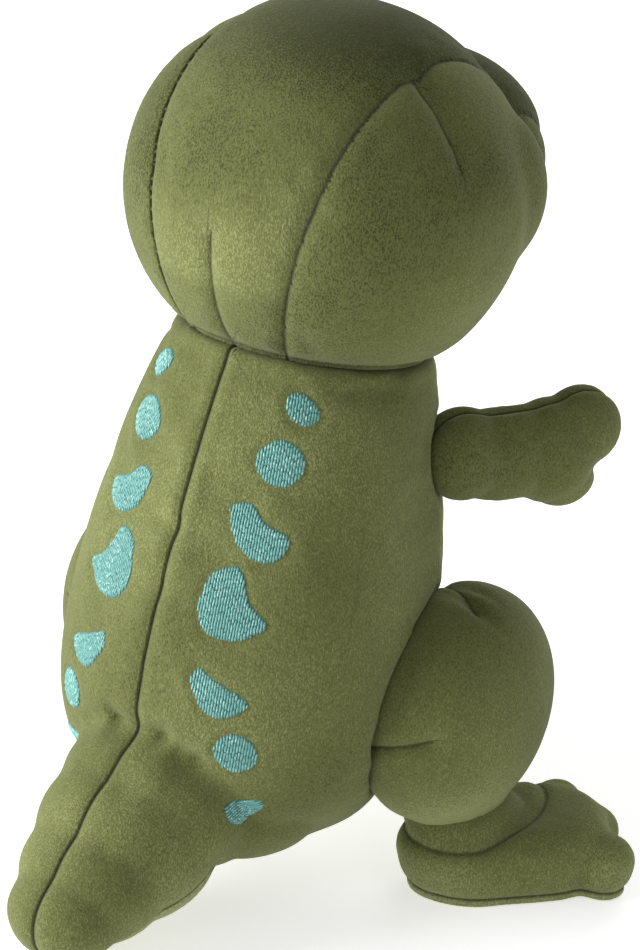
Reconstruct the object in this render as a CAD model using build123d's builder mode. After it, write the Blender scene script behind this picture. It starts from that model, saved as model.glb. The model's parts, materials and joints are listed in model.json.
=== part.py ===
"""Stuffed dinosaur, sewn from short pile fabric and filled with fibre.

Frame: millimetres, +Z up. The toy stands on its soles and the tip of its tail
at Z = 0, faces -Y, and its own right side is at -X. The origin lies on the
ground, at the middle of the toy's length and width.
"""
from build123d import *
from math import asin, cos, degrees, radians, sin
import os

os.makedirs("parts", exist_ok=True)

# ---------------------------------------------------------------- dimensions
fabric = 1.6              # backing and flattened pile
joint_gap = 0.4           # between a stuffed ball and its hollow
lens_band = 2             # straight strip round the rim of head and thighs
stitch_height = 0.8       # embroidery above the fabric

neck_height = 161         # seam between head and torso
torso_lean = 11           # degrees, the top leans towards the face
torso_length = 149        # from the neck seam down to the bottom
side_seam_forward = 20    # side seams ahead of the torso's own axis
# distance below the neck seam and radius of the torso there
torso_stations = [(0, 38), (15, 41.5), (48, 48.5), (75, 52.5), (100, 54), (122, 50), (138, 38)]

head_width = 116
head_height = 109
head_centre_y = -5.5      # from the neck seam's centre
head_centre_z = 203
muzzle_width = 72
muzzle_height = 60
muzzle_centre_y = -56
crown_width = 57          # gusset over the back and top of the head
chin_top_z = 186
neck_ball_radius = 34
neck_ball_drop = 8        # ball centre below the neck seam
neck_slot = 7             # room for the head's rim to nod

eye_diameter = 13
eye_bulge = 4
eye_x = 36
eye_z = 213
eye_stem_diameter = 4
eye_stem_length = 11
eye_sink = 1              # rim pulled into the fabric
washer_diameter = 15
washer_thickness = 1.5
washer_depth = 7          # below the fabric's outside
nostril_x = 9
nostril_z = 212
nostril_size = (4, 3)
mouth_width = 34
mouth_z = 193
mouth_thread = 1.6

thigh_x = 54
thigh_y = -9
thigh_z = 57
thigh_radius = 36
thigh_width = 50
ankle_radius = 15
ankle_x = 57
ankle_y = -9
ankle_z = 23
thigh_room = 3.2          # between the foot's top and the thigh above it

foot_turn_out = 31        # degrees
foot_height = 23
heel_radius = 16.5
heel_x = 60.5
heel_y = -4
ball_radius = 21
ball_reach = 28           # heel centre to ball centre
toe_radius = 8.5
toe_height = 19
toe_reach = 46            # heel centre to toe centre
toe_spread = 22           # degrees between toes
foot_rounding = 8
sole_rounding = 2.5

arm_out = 43.5            # shoulder ball centre
arm_y = -19.5
arm_z = 130
arm_length = 31           # shoulder ball centre to hand centre
arm_swing_out = 31        # degrees from straight ahead
shoulder_radius = 13.5
wrist_radius = 12.5
hand_radius = 17

tail_root_y = 34
tail_root_z = 47
tail_root_radius = 31
tail_tip_y = 100
tail_tip_radius = 15
tail_seam_drop = 9        # side seams of the tail below its own axis

# Embroidered spots, from the neck down: distance below the neck seam, angle
# round from the spine, and the outline's points as (away from spine, up).
teardrop = [(-4.5, 3.5), (-0.5, 4.5), (5, -2), (0.5, -4.5), (-4, -1.5)]
pebble = [(-4.5, 5), (2, 6.5), (6.5, 2.5), (6, -3), (1.5, -6.5), (-4.5, -5), (-7, 0)]
bean = [(-7.5, 7.5), (-3, 7.5), (1.5, 3.5), (8.5, 0.5), (5.5, -7), (-5, -5), (-8.5, 1.5)]
big_bean = [(-5, 10), (0, 10.5), (4.5, 1.5), (10, -2.5), (3.5, -9), (-8.5, -7.5), (-10, 0), (-8.5, 6.5)]
low_bean = [(-6.5, 6.5), (2, 2.5), (8.5, -1.5), (2, -7), (-4, -6), (-7, -2), (-8.5, 4)]
small_pebble = [(-4.5, 5), (2, 6), (5.5, 2.5), (5, -3.5), (-2, -5.5), (-5.5, -2.5)]
wedge = [(0, 4.5), (4, -1), (2.5, -3), (-3.5, -3), (-3.5, 1)]
torso_spots = [
    (12.5, 37, teardrop),
    (28, 32, pebble),
    (48, 29, bean),
    (69, 25.5, big_bean),
    (94, 26, low_bean),
    (111, 34, small_pebble),
]
tail_spot = (27, 78, wedge)   # distance along the tail, angle from its top

# ------------------------------------------------------------------- places
tail_reach = tail_tip_y + tail_tip_radius
muzzle_reach = muzzle_height / 2 - muzzle_centre_y
neck_y = (muzzle_reach - tail_reach) / 2      # puts the length's middle at Y = 0
lean = radians(torso_lean)
torso_up = Vector(0, -sin(lean), cos(lean))
neck_centre = Vector(0, neck_y, neck_height)
neck_ball_centre = neck_centre - torso_up * neck_ball_drop
torso_axis = Axis(neck_centre, torso_up)
torso_side = Plane(neck_centre, x_dir=(1, 0, 0), z_dir=(0, -cos(lean), -sin(lean)))
head_centre = Vector(0, neck_y + head_centre_y, head_centre_z)
muzzle_centre = Vector(0, neck_y + muzzle_centre_y, head_centre_z)
thigh_centre_y = neck_y + thigh_y
tail_root = Vector(0, neck_y + tail_root_y, tail_root_z)
tail_tip = Vector(0, neck_y + tail_tip_y, tail_tip_radius)
tail_line = (tail_tip - tail_root).normalized()
tail_top = Vector(1, 0, 0).cross(tail_line)
tail_plane = Plane(tail_root, x_dir=(1, 0, 0), z_dir=tail_top)
sides = {"right": -1, "left": 1}


# ---------------------------------------------------------- repeated shapes
def torso_shape(inset):
    """The whole torso as a solid of revolution, shrunk by inset."""
    wall = [(radius - inset, -drop) for drop, radius in torso_stations]
    bottom = (0, inset - torso_length)
    with BuildPart() as body:
        with BuildSketch(torso_side):
            with BuildLine():
                Spline(*wall, bottom, tangents=[(0.15, -1), (-1, 0)])
                Polyline(bottom, (0, 0), wall[0])
            make_face()
        revolve(axis=torso_axis)
    return body.part


def arc_points(width, height, start, end, count):
    """Points on an ellipse about (0, 0), between two angles in degrees."""
    angles = [radians(start + (end - start) * step / count) for step in range(count + 1)]
    return [(width * cos(angle), height * sin(angle)) for angle in angles]


def lens(centre, width, height, seam=(0, 0, -1)):
    """A rounded lens with a narrow band, round about a line along X."""
    profile = Plane(centre, x_dir=(1, 0, 0), z_dir=Vector(1, 0, 0).cross(Vector(*seam)))
    cap = arc_points(width / 2 - lens_band / 2, height / 2, 0, 90, 4)
    right = [(x + lens_band / 2, y) for x, y in cap]
    left = [(-x, y) for x, y in reversed(right)]
    with BuildPart() as body:
        with BuildSketch(profile):
            with BuildLine():
                Spline(*right, tangents=[(0, 1), (-1, 0)])
                Line(right[-1], left[0])
                Spline(*left, tangents=[(-1, 0), (0, -1)])
                Line(left[-1], right[0])
            make_face()
        revolve(axis=Axis(centre, (1, 0, 0)))
    return body.part


def ball(centre, radius):
    with BuildPart() as body:
        with Locations(centre):
            Sphere(radius, rotation=(0, 0, 45))
    return body.part


def head_shape(inset):
    """Skull and muzzle together, cut off at the neck seam."""
    with BuildPart() as body:
        add(lens(head_centre, head_width - 2 * inset, head_height - 2 * inset))
        add(lens(muzzle_centre, muzzle_width - 2 * inset, muzzle_height - 2 * inset, (0, 1, 0)))
        split(bisect_by=Plane(neck_centre, z_dir=torso_up))
        add(ball(neck_ball_centre, neck_ball_radius + joint_gap), mode=Mode.SUBTRACT)
    return body.part


def tail_shape(inset):
    """A rounded cone from the root ball to the ball at the tip."""
    length = (tail_tip - tail_root).length
    root = tail_root_radius - inset
    tip = tail_tip_radius - inset
    taper = asin((root - tip) / length)
    along = (-sin(taper), cos(taper))
    root_arc = arc_points(root, root, -90, degrees(taper), 5)
    tip_arc = [(x, length + y) for x, y in arc_points(tip, tip, degrees(taper), 90, 4)]
    with BuildPart() as body:
        with BuildSketch(tail_plane):
            with BuildLine():
                Spline(*root_arc, tangents=[(1, 0), along])
                Line(root_arc[-1], tip_arc[0])
                Spline(*tip_arc, tangents=[along, (-1, 0)])
                Line(tip_arc[-1], root_arc[0])
            make_face()
        revolve(axis=Axis(tail_root, tail_line))
    return body.part


def shoulder(side):
    return Vector(side * arm_out, neck_y + arm_y, arm_z)


def arm_line(side):
    turn = radians(arm_swing_out)
    return Vector(side * sin(turn), -cos(turn), 0)


def arm_shape(side, inset):
    """Shoulder ball, narrow wrist and round hand, about the arm's own line."""
    start = shoulder(side)
    line = arm_line(side)
    middle = Plane(start, x_dir=(0, 0, 1), z_dir=Vector(0, 0, 1).cross(line))
    shoulder_ball = shoulder_radius - inset
    hand_end = arm_length + hand_radius - inset
    with BuildPart() as body:
        with BuildSketch(middle):
            with BuildLine():
                Line((0, -shoulder_ball), (0, hand_end))
                ThreePointArc(
                    (0, -shoulder_ball),
                    (shoulder_ball * 0.7071, -shoulder_ball * 0.7071),
                    (shoulder_ball, 0),
                )
                Spline(
                    (shoulder_ball, 0),
                    (wrist_radius - inset, arm_length * 0.5),
                    (hand_radius - inset, arm_length),
                    (0, hand_end),
                    tangents=[(0, 1), (-1, 0)],
                )
            make_face()
        revolve(axis=Axis(start, line))
    return body.part


def foot_shape(side, inset):
    """Heel, ball and three toes, flat underneath."""
    heel = Vector(side * heel_x, neck_y + heel_y, inset)
    turn = -90 + side * foot_turn_out
    floor = Plane(heel, x_dir=(cos(radians(turn)), sin(radians(turn)), 0), z_dir=(0, 0, 1))
    with BuildPart() as body:
        with BuildSketch(floor):
            Circle(heel_radius - inset)
            with Locations((ball_reach, 0)):
                Circle(ball_radius - inset)
            make_hull()
        extrude(amount=foot_height - 2 * inset)
        top = body.faces().sort_by(Axis.Z)[-1].edges()
        fillet(top, foot_rounding)
        fillet(body.faces().sort_by(Axis.Z)[0].edges(), sole_rounding)
    toes = []
    for turn_toe in (-toe_spread, 0, toe_spread):
        with BuildPart() as toe:
            with BuildSketch(floor):
                with Locations(
                    (toe_reach * cos(radians(turn_toe)), toe_reach * sin(radians(turn_toe)))
                ):
                    Circle(toe_radius - inset)
            extrude(amount=toe_height - 2 * inset)
            fillet(toe.faces().sort_by(Axis.Z)[-1].edges(), toe_radius - inset - 0.5)
            fillet(toe.faces().sort_by(Axis.Z)[0].edges(), sole_rounding)
        toes.append(toe.part)
    with BuildPart() as whole:
        add(body.part)
        add(toes)
    return whole.part


def thigh(side, inset):
    return lens(
        Vector(side * thigh_x, thigh_centre_y, thigh_z),
        thigh_width - 2 * inset,
        2 * (thigh_radius - inset),
    )


def ankle(side):
    return Vector(side * ankle_x, neck_y + ankle_y, ankle_z)


def leg_shape(side, inset):
    """Round thigh with the ankle's ball under it."""
    with BuildPart() as body:
        add(thigh(side, inset))
        add(ball(ankle(side), ankle_radius - inset))
    return body.part


def write(part, name):
    part.label = name
    export_step(part, f"parts/{name}.step")


def cut(part, *tools):
    with BuildPart() as result:
        add(part)
        for tool in tools:
            add(tool, mode=Mode.SUBTRACT)
    return result.part


def half(part, plane, keep):
    with BuildPart() as result:
        add(part)
        split(bisect_by=plane, keep=keep)
    return result.part


# -------------------------------------------------------------------- torso
def torso_hollows():
    """Room for everything that turns in the torso."""
    neck_plane = Plane(neck_centre - torso_up * neck_slot, z_dir=torso_up)
    with BuildPart() as tail_room:
        with BuildSketch(Plane(tail_root, z_dir=tail_line)):
            Circle(tail_root_radius + joint_gap)
        extrude(amount=tail_reach)
        add(ball(tail_root, tail_root_radius + joint_gap))
    with BuildPart() as neck_room:
        with BuildSketch(neck_plane):
            Circle(head_width)
        extrude(amount=neck_height)
        add(ball(neck_ball_centre, neck_ball_radius + joint_gap))
    rooms = [tail_room.part, neck_room.part]
    for side in sides.values():
        rooms.append(thigh(side, -joint_gap))
        rooms.append(ball(shoulder(side), shoulder_radius + joint_gap))
    return rooms


hollows = torso_hollows()
torso_skin = cut(torso_shape(0), torso_shape(fabric), *hollows)
back = Vector(0, cos(lean), sin(lean))
side_seams = Plane(neck_centre - back * side_seam_forward, z_dir=back)
spine_seam = Plane(neck_centre, z_dir=(1, 0, 0))
back_skin = half(torso_skin, side_seams, Keep.TOP)

write(half(back_skin, spine_seam, Keep.TOP), "back_panel_left")
write(half(back_skin, spine_seam, Keep.BOTTOM), "back_panel_right")
write(half(torso_skin, side_seams, Keep.BOTTOM), "belly_panel")
write(cut(torso_shape(fabric), *hollows), "torso_stuffing")

# --------------------------------------------------------------------- neck
write(ball(neck_ball_centre, neck_ball_radius), "neck_stuffing")


# -------------------------------------------------------------------- spots
def spot_on(surface, plane, outline, side, height):
    """One patch of embroidery: the outline pushed through a thin layer."""
    points = [(-side * across, up) for across, up in outline]
    with BuildPart() as patch:
        with BuildSketch(plane):
            with BuildLine():
                Spline(*points, periodic=True)
            make_face()
        extrude(amount=height)
        add(surface, mode=Mode.INTERSECT)
    return patch.part


torso_stitches = cut(torso_shape(-stitch_height), torso_shape(0))
tail_stitches = cut(tail_shape(-stitch_height), tail_shape(0))
for name, side in sides.items():
    for number, (drop, angle, outline) in enumerate(torso_spots, start=1):
        around = radians(angle)
        outward = Vector(side * sin(around), cos(lean) * cos(around), sin(lean) * cos(around))
        across = torso_up.cross(outward)
        place = Plane(neck_centre - torso_up * drop, x_dir=across, z_dir=outward)
        spot = spot_on(torso_stitches, place, outline, side, head_width)
        write(spot, f"spot_{name}_{number}")
    along, angle, outline = tail_spot
    around = radians(angle)
    outward = tail_top * cos(around) + Vector(side * sin(around), 0, 0)
    across = (-tail_line).cross(outward)
    place = Plane(tail_root + tail_line * along, x_dir=across, z_dir=outward)
    spot = spot_on(tail_stitches, place, outline, side, head_width)
    write(spot, f"spot_{name}_{len(torso_spots) + 1}")

# --------------------------------------------------------------------- tail
tail_skin = cut(tail_shape(0), tail_shape(fabric))
under_seams = Plane(tail_root - tail_top * tail_seam_drop, z_dir=tail_top)
tail_upper = half(tail_skin, under_seams, Keep.TOP)
write(half(tail_upper, spine_seam, Keep.TOP), "tail_panel_left")
write(half(tail_upper, spine_seam, Keep.BOTTOM), "tail_panel_right")
write(half(tail_skin, under_seams, Keep.BOTTOM), "tail_underside_panel")
write(tail_shape(fabric), "tail_stuffing")


# --------------------------------------------------------------------- head
def eye_plane(side):
    """On the skull's surface, looking straight out of it."""
    rise = eye_z - head_centre_z
    flat = 1 - (eye_x / (head_width / 2)) ** 2 - (rise / (head_height / 2)) ** 2
    depth = -(head_height / 2) * flat**0.5
    outward = Vector(
        side * eye_x / head_width**2,
        depth / head_height**2,
        rise / head_height**2,
    ).normalized()
    return Plane(head_centre + Vector(side * eye_x, depth, rise), z_dir=outward)


def eye(side):
    """Domed button with its stem."""
    rim = eye_diameter / 2
    dome_radius = (rim**2 + eye_bulge**2) / (2 * eye_bulge)
    with BuildPart(eye_plane(side)) as button:
        with Locations((0, 0, -eye_sink)):
            Cylinder(rim, eye_sink + eye_bulge, align=(Align.CENTER, Align.CENTER, Align.MIN))
        with Locations((0, 0, eye_bulge - dome_radius)):
            Sphere(dome_radius, mode=Mode.INTERSECT)
        Cylinder(
            eye_stem_diameter / 2, eye_stem_length, align=(Align.CENTER, Align.CENTER, Align.MAX)
        )
    return button.part


def washer(side):
    """Locking washer on the stem, inside the fabric."""
    with BuildPart(eye_plane(side).offset(-washer_depth)) as disc:
        Cylinder(washer_diameter / 2, washer_thickness)
        Cylinder(eye_stem_diameter / 2, washer_thickness, mode=Mode.SUBTRACT)
    return disc.part


eyes = {name: eye(side) for name, side in sides.items()}
washers = {name: washer(side) for name, side in sides.items()}
fittings = [*eyes.values(), *washers.values()]
head_outer = head_shape(0)
head_inner = head_shape(fabric)
head_skin = cut(head_outer, head_inner, *fittings)
crown_edge_left = Plane(head_centre + Vector(crown_width / 2, 0, 0), z_dir=(1, 0, 0))
crown_edge_right = Plane(head_centre - Vector(crown_width / 2, 0, 0), z_dir=(1, 0, 0))
write(half(head_skin, crown_edge_left, Keep.TOP), "head_side_panel_left")
write(half(head_skin, crown_edge_right, Keep.BOTTOM), "head_side_panel_right")
middle_band = half(half(head_skin, crown_edge_left, Keep.BOTTOM), crown_edge_right, Keep.TOP)
with BuildPart() as chin_region:
    with BuildSketch(Plane.XY):
        with Locations((0, head_centre.Y - head_width)):
            Rectangle(crown_width, 2 * head_width)
    extrude(amount=chin_top_z)
with BuildPart() as chin:
    add(middle_band)
    add(chin_region.part, mode=Mode.INTERSECT)
write(chin.part, "head_chin_panel")
write(cut(middle_band, chin_region.part), "head_crown_panel")
write(cut(head_inner, *fittings), "head_stuffing")
for name in sides:
    write(eyes[name], f"eye_{name}")
    write(washers[name], f"eye_washer_{name}")

# ------------------------------------------------------------- face stitches
face_layer = cut(head_shape(-stitch_height), head_outer)
for name, side in sides.items():
    with BuildPart() as nostril:
        with BuildSketch(Plane((0, 0, nostril_z), x_dir=(1, 0, 0), z_dir=(0, -1, 0))):
            with Locations((side * nostril_x, 0)):
                Ellipse(nostril_size[0] / 2, nostril_size[1] / 2)
        extrude(amount=head_width)
        add(face_layer, mode=Mode.INTERSECT)
    write(nostril.part, f"nostril_{name}")
with BuildPart() as mouth:
    with BuildSketch(Plane((0, 0, mouth_z), x_dir=(1, 0, 0), z_dir=(0, -1, 0))):
        with BuildLine() as smile:
            ThreePointArc((-mouth_width / 2, 4), (0, 0), (mouth_width / 2, 4))
            offset(amount=mouth_thread / 2)
        make_face()
    extrude(amount=head_width)
    add(face_layer, mode=Mode.INTERSECT)
write(mouth.part, "mouth")

# --------------------------------------------------------------------- arms
for name, side in sides.items():
    arm_skin = cut(arm_shape(side, 0), arm_shape(side, fabric))
    edge_seam = Plane(shoulder(side), z_dir=Vector(0, 0, 1).cross(arm_line(side)) * side)
    write(half(arm_skin, edge_seam, Keep.TOP), f"arm_outer_panel_{name}")
    write(half(arm_skin, edge_seam, Keep.BOTTOM), f"arm_inner_panel_{name}")
    write(arm_shape(side, fabric), f"arm_stuffing_{name}")

# ------------------------------------------------------------ legs and feet
for name, side in sides.items():
    leg_skin = cut(leg_shape(side, 0), leg_shape(side, fabric))
    thigh_seam = Plane((side * thigh_x, 0, 0), z_dir=(side, 0, 0))
    write(half(leg_skin, thigh_seam, Keep.TOP), f"thigh_outer_panel_{name}")
    write(half(leg_skin, thigh_seam, Keep.BOTTOM), f"thigh_inner_panel_{name}")
    write(leg_shape(side, fabric), f"thigh_stuffing_{name}")

    ankle_room = [
        ball(ankle(side), ankle_radius + joint_gap),
        thigh(side, -thigh_room),
    ]
    foot_outer = cut(foot_shape(side, 0), *ankle_room)
    foot_inner = cut(foot_shape(side, fabric), *ankle_room)
    foot_skin = cut(foot_outer, foot_inner)
    sole_edge = Plane((0, 0, fabric), z_dir=(0, 0, 1))
    write(half(foot_skin, sole_edge, Keep.TOP), f"foot_upper_panel_{name}")
    write(half(foot_skin, sole_edge, Keep.BOTTOM), f"foot_sole_panel_{name}")
    write(foot_inner, f"foot_stuffing_{name}")
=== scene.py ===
# %% [markdown]
# A plush toy is flat fabric, sewn inside out, turned and filled until the seams pull in between
# soft swellings. This lesson sews such a toy around a finished engineering model, which holds
# the sizes and the joints. The model is loaded first and stays as it is.
# %% Load the engineering model
import json
import math

import bmesh
import bpy
import numpy as np
from mathutils import Matrix, Vector
from mathutils.bvhtree import BVHTree


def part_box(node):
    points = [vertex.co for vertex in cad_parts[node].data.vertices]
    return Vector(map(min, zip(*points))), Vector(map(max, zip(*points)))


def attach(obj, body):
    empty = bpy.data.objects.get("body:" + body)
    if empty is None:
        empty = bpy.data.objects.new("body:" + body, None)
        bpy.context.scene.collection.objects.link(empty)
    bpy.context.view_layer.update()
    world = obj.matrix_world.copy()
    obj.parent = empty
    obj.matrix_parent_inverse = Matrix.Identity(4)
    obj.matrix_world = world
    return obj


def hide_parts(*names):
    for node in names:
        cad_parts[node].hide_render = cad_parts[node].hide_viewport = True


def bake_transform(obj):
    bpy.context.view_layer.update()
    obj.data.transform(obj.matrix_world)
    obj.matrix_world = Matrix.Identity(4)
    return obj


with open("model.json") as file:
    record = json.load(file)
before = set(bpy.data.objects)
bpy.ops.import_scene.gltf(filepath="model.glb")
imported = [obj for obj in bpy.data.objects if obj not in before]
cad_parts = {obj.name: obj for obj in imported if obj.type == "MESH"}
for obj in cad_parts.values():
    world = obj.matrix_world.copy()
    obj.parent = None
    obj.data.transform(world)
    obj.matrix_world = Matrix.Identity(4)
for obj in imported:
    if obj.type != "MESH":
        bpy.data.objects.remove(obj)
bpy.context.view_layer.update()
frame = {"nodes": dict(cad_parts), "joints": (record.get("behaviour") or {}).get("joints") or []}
joints = {joint["name"]: joint for joint in frame["joints"]}
nodes = frame["nodes"]
SIDES = {"right": -1, "left": 1}
MM = 0.001

# %% [markdown]
# Every seam below is a distance from a plane or a line, so the toy's own landmarks come first:
# the line up the torso, the seam round the neck, the line down the tail and the joints.
# All of these are in millimetres, and meshes are read and written in millimetres too.
# %% Landmarks


def joint_place(name):
    return np.array(joints[name]["pos_m"]) * 1000


def box(name):
    low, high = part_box(name)
    return np.array(low) * 1000, np.array(high) * 1000


def unit(vector):
    return np.array(vector, float) / np.linalg.norm(vector)


RIGHTWARD = np.array([-1.0, 0.0, 0.0])
NECK_BALL_DROP = 8
TORSO_UP = unit(joints["neck_turn"]["axis"])
TORSO_BACK = np.array([0.0, TORSO_UP[2], -TORSO_UP[1]])
NECK = joint_place("neck_turn") + TORSO_UP * NECK_BALL_DROP
SIDE_SEAM_FORWARD = 20
TAIL_SEAM_DROP = 9
TAIL_ROOT = joint_place("tail_wag")
TAIL_TIP_INSIDE = 13
TAIL_TIP = np.array([0.0, box("tail_stuffing")[1][1] - TAIL_TIP_INSIDE, 15.0])
TAIL_LINE = unit(TAIL_TIP - TAIL_ROOT)
TAIL_TOP = np.array([0.0, -TAIL_LINE[2], TAIL_LINE[1]])
SKULL_RADII = np.array([58.0, 54.5, 54.5])
HEAD_TOP = box("head_crown_panel")[1][2]
HEAD_MIDDLE = np.array([0.0, NECK[1] - 5.5, HEAD_TOP - SKULL_RADII[2]])
print("neck seam at", NECK.round(1), "tail from", TAIL_ROOT.round(1), "to", TAIL_TIP.round(1))

# %% [markdown]
# These few helpers do what a modeller's hands do: pick one piece, read its points, join copies
# of the model's own solids into one closed form, and smooth it.
# %% Helpers


def pick(piece):
    bpy.ops.object.select_all(action="DESELECT")
    piece.select_set(True)
    bpy.context.view_layer.objects.active = piece


def read_points(piece):
    flat = np.empty(len(piece.data.vertices) * 3)
    piece.data.vertices.foreach_get("co", flat)
    return flat.reshape(-1, 3) * 1000


def write_points(piece, points):
    piece.data.vertices.foreach_set("co", (points * MM).ravel())
    piece.data.update()


def read_normals(piece):
    flat = np.empty(len(piece.data.vertices) * 3)
    piece.data.vertex_normals.foreach_get("vector", flat)
    return flat.reshape(-1, 3)


def smoothstep(low, high, value):
    t = np.clip((value - low) / (high - low), 0, 1)
    return t * t * (3 - 2 * t)


def apply(piece, kind, **settings):
    pick(piece)
    modifier = piece.modifiers.new(kind.title(), kind)
    for key, value in settings.items():
        setattr(modifier, key, value)
    bpy.ops.object.modifier_apply(modifier=modifier.name)


# %% [markdown]
# A cover starts as one closed skin. Copies of the model's solids are joined loosely, with a few
# round forms where the stuffed toy is fuller, and a voxel remesh wraps the lot in even faces.
# %% Joining and skinning


def join_solids(name, node_names, extras=()):
    """Copies of the model's solids, and any added forms, as one loose mesh."""
    joined = bmesh.new()
    for node_name in node_names:
        joined.from_mesh(nodes[node_name].data)
    for extra in extras:
        joined.from_mesh(extra.data)
        bpy.data.objects.remove(extra)
    bmesh.ops.remove_doubles(joined, verts=joined.verts, dist=0.00001)
    mesh = bpy.data.meshes.new(name)
    joined.to_mesh(mesh)
    joined.free()
    mesh.materials.clear()
    piece = bpy.data.objects.new(name, mesh)
    bpy.context.scene.collection.objects.link(piece)
    return piece


def one_skin(piece, voxel, rounds):
    """A single closed skin round everything in the mesh."""
    pick(piece)
    piece.data.remesh_voxel_size = voxel * MM
    bpy.ops.object.voxel_remesh()
    apply(piece, "SMOOTH", factor=0.5, iterations=rounds)
    print(piece.name, "skin of", len(piece.data.vertices), "points")


def ball(centre, radii, turn=(0, 0, 0)):
    """An extra round form, in place."""
    bpy.ops.object.select_all(action="DESELECT")
    bpy.ops.mesh.primitive_uv_sphere_add(
        segments=48, ring_count=24, radius=1, location=centre * MM, rotation=turn
    )
    piece = bpy.context.object
    piece.scale = [radius * MM for radius in radii]
    bpy.ops.object.transform_apply(location=True, rotation=True, scale=True)
    return piece


# %% [markdown]
# Filling swells a sewn cover. Cloth with air pressure inside and no gravity does the same: the
# sewn points are pinned and pulled in a little, and the fabric between them rises and puckers.
# A cap keeps every point near the model's size.
# %% Filling a cover


def fill_cover(piece, seam, pull, pressure, spare, cap, frames=12):
    """seam is each point's distance from its nearest seam."""
    start = read_points(piece)
    sewn = np.exp(-((seam / 2.2) ** 2))
    write_points(piece, start - read_normals(piece) * (pull * sewn)[:, None])
    group = piece.vertex_groups.new(name="sewn")
    for index in np.nonzero(sewn > 0.15)[0]:
        group.add([int(index)], float(min(1, sewn[index] * 1.2)), "REPLACE")
    pick(piece)
    cloth = piece.modifiers.new("Cloth", "CLOTH")
    cloth.settings.quality = 4
    cloth.settings.mass = 0.15
    cloth.settings.tension_stiffness = 12
    cloth.settings.compression_stiffness = 12
    cloth.settings.shear_stiffness = 4
    cloth.settings.bending_stiffness = 0.4
    cloth.settings.shrink_min = -spare
    cloth.settings.use_pressure = True
    cloth.settings.uniform_pressure_force = pressure
    cloth.settings.effector_weights.gravity = 0
    cloth.settings.vertex_group_mass = "sewn"
    cloth.point_cache.frame_start = 1
    cloth.point_cache.frame_end = frames
    for step in range(1, frames + 1):
        bpy.context.scene.frame_set(step)
    bpy.ops.object.modifier_apply(modifier=cloth.name)
    bpy.context.scene.frame_set(1)
    moved = read_points(piece) - start
    length = np.linalg.norm(moved, axis=1, keepdims=True)
    limit = cap * np.tanh(length / cap) / np.maximum(length, 1e-9)
    write_points(piece, start + moved * limit)
    piece.vertex_groups.clear()
    apply(piece, "SMOOTH", factor=0.5, iterations=2)
    print(piece.name, "swelled by up to", round(float(length.max()), 1), "mm")


# %% [markdown]
# After filling, the cover is divided finely and the seam itself is pressed in as a narrow
# groove. The distance to the seam is kept on the mesh, with its sign, so that the material can
# paint the crease's shade as a dark line sharper than the mesh could.
# %% Seam grooves


def refine(piece, levels=1):
    apply(piece, "SUBSURF", levels=levels, render_levels=levels)


def keep_value(piece, name, values):
    attribute = piece.data.attributes.get(name) or piece.data.attributes.new(name, "FLOAT", "POINT")
    attribute.data.foreach_set("value", values.astype(np.float32))


def press_groove(piece, seam, depth, width):
    points = read_points(piece)
    dent = depth * np.exp(-((np.abs(seam) / width) ** 1.4))
    write_points(piece, points - read_normals(piece) * dent[:, None])
    keep_value(piece, "seam", np.clip(seam, -9, 9))


# %% [markdown]
# A cover is cut along its seams into the panels that a pattern has. The faces are small squares,
# so the points between two panels are first moved onto the cut, which then runs clean.
# %% Cutting panels


def even_edges(piece, which_panel, cut_line):
    """Moves the points between two panels onto the cut itself, so that it runs clean."""
    mesh = piece.data
    middles = np.empty(len(mesh.polygons) * 3)
    mesh.polygons.foreach_get("center", middles)
    sizes = np.empty(len(mesh.polygons), int)
    mesh.polygons.foreach_get("loop_total", sizes)
    corners = np.empty(len(mesh.loops), int)
    mesh.loops.foreach_get("vertex_index", corners)
    owner = np.repeat(which_panel(middles.reshape(-1, 3) * 1000), sizes)
    highest = np.full(len(mesh.vertices), -1)
    lowest = np.full(len(mesh.vertices), 99)
    np.maximum.at(highest, corners, owner)
    np.minimum.at(lowest, corners, owner)
    edge = highest != lowest
    points, normals = read_points(piece), read_normals(piece)
    for _ in range(2):
        value = cut_line(points)
        slope = np.stack([(cut_line(points + 0.05 * axis) - value) / 0.05 for axis in np.eye(3)], axis=1)
        slope -= normals * (slope * normals).sum(axis=1, keepdims=True)
        move = -value[:, None] * slope / np.maximum((slope**2).sum(axis=1, keepdims=True), 0.1)
        move *= np.minimum(1, 1.2 / np.maximum(np.linalg.norm(move, axis=1, keepdims=True), 1e-9))
        points[edge] += move[edge]
    write_points(piece, points)


def bend_between(first, second, start, end):
    return first, second, tuple(start * MM), tuple(end * MM)


def tree_of(piece):
    """The piece's surface, for rays and nearest points."""
    corners = [vertex.co for vertex in piece.data.vertices]
    return BVHTree.FromPolygons(corners, [face.vertices for face in piece.data.polygons])


def nearest(*distances):
    """The signed distance to whichever seam is nearest."""
    stack = np.array(distances)
    return np.take_along_axis(stack, np.abs(stack).argmin(axis=0)[None], axis=0)[0]


def only_where(distance, inside):
    """A seam that stops: past its end the distance grows quickly."""
    return np.where(inside > 0, distance, np.where(distance < 0, -1, 1) * np.hypot(distance, inside))


def panel(source, name, inside):
    """One cut panel: the faces of a cover whose middle is inside."""
    mesh = source.data.copy()
    piece = bpy.data.objects.new(name, mesh)
    bpy.context.scene.collection.objects.link(piece)
    work = bmesh.new()
    work.from_mesh(mesh)
    middles = np.array([face.calc_center_median() for face in work.faces]) * 1000
    keep = inside(middles)
    gone = [face for face, wanted in zip(work.faces, keep) if not wanted]
    bmesh.ops.delete(work, geom=gone, context="FACES")
    work.to_mesh(mesh)
    work.free()
    mesh.polygons.foreach_set("use_smooth", [True] * len(mesh.polygons))
    return piece


def lined(piece):
    """Gives a panel the thickness of its backing, inwards."""
    apply(piece, "SOLIDIFY", thickness=1.0 * MM, offset=-1, use_even_offset=False)
    return piece
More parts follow.
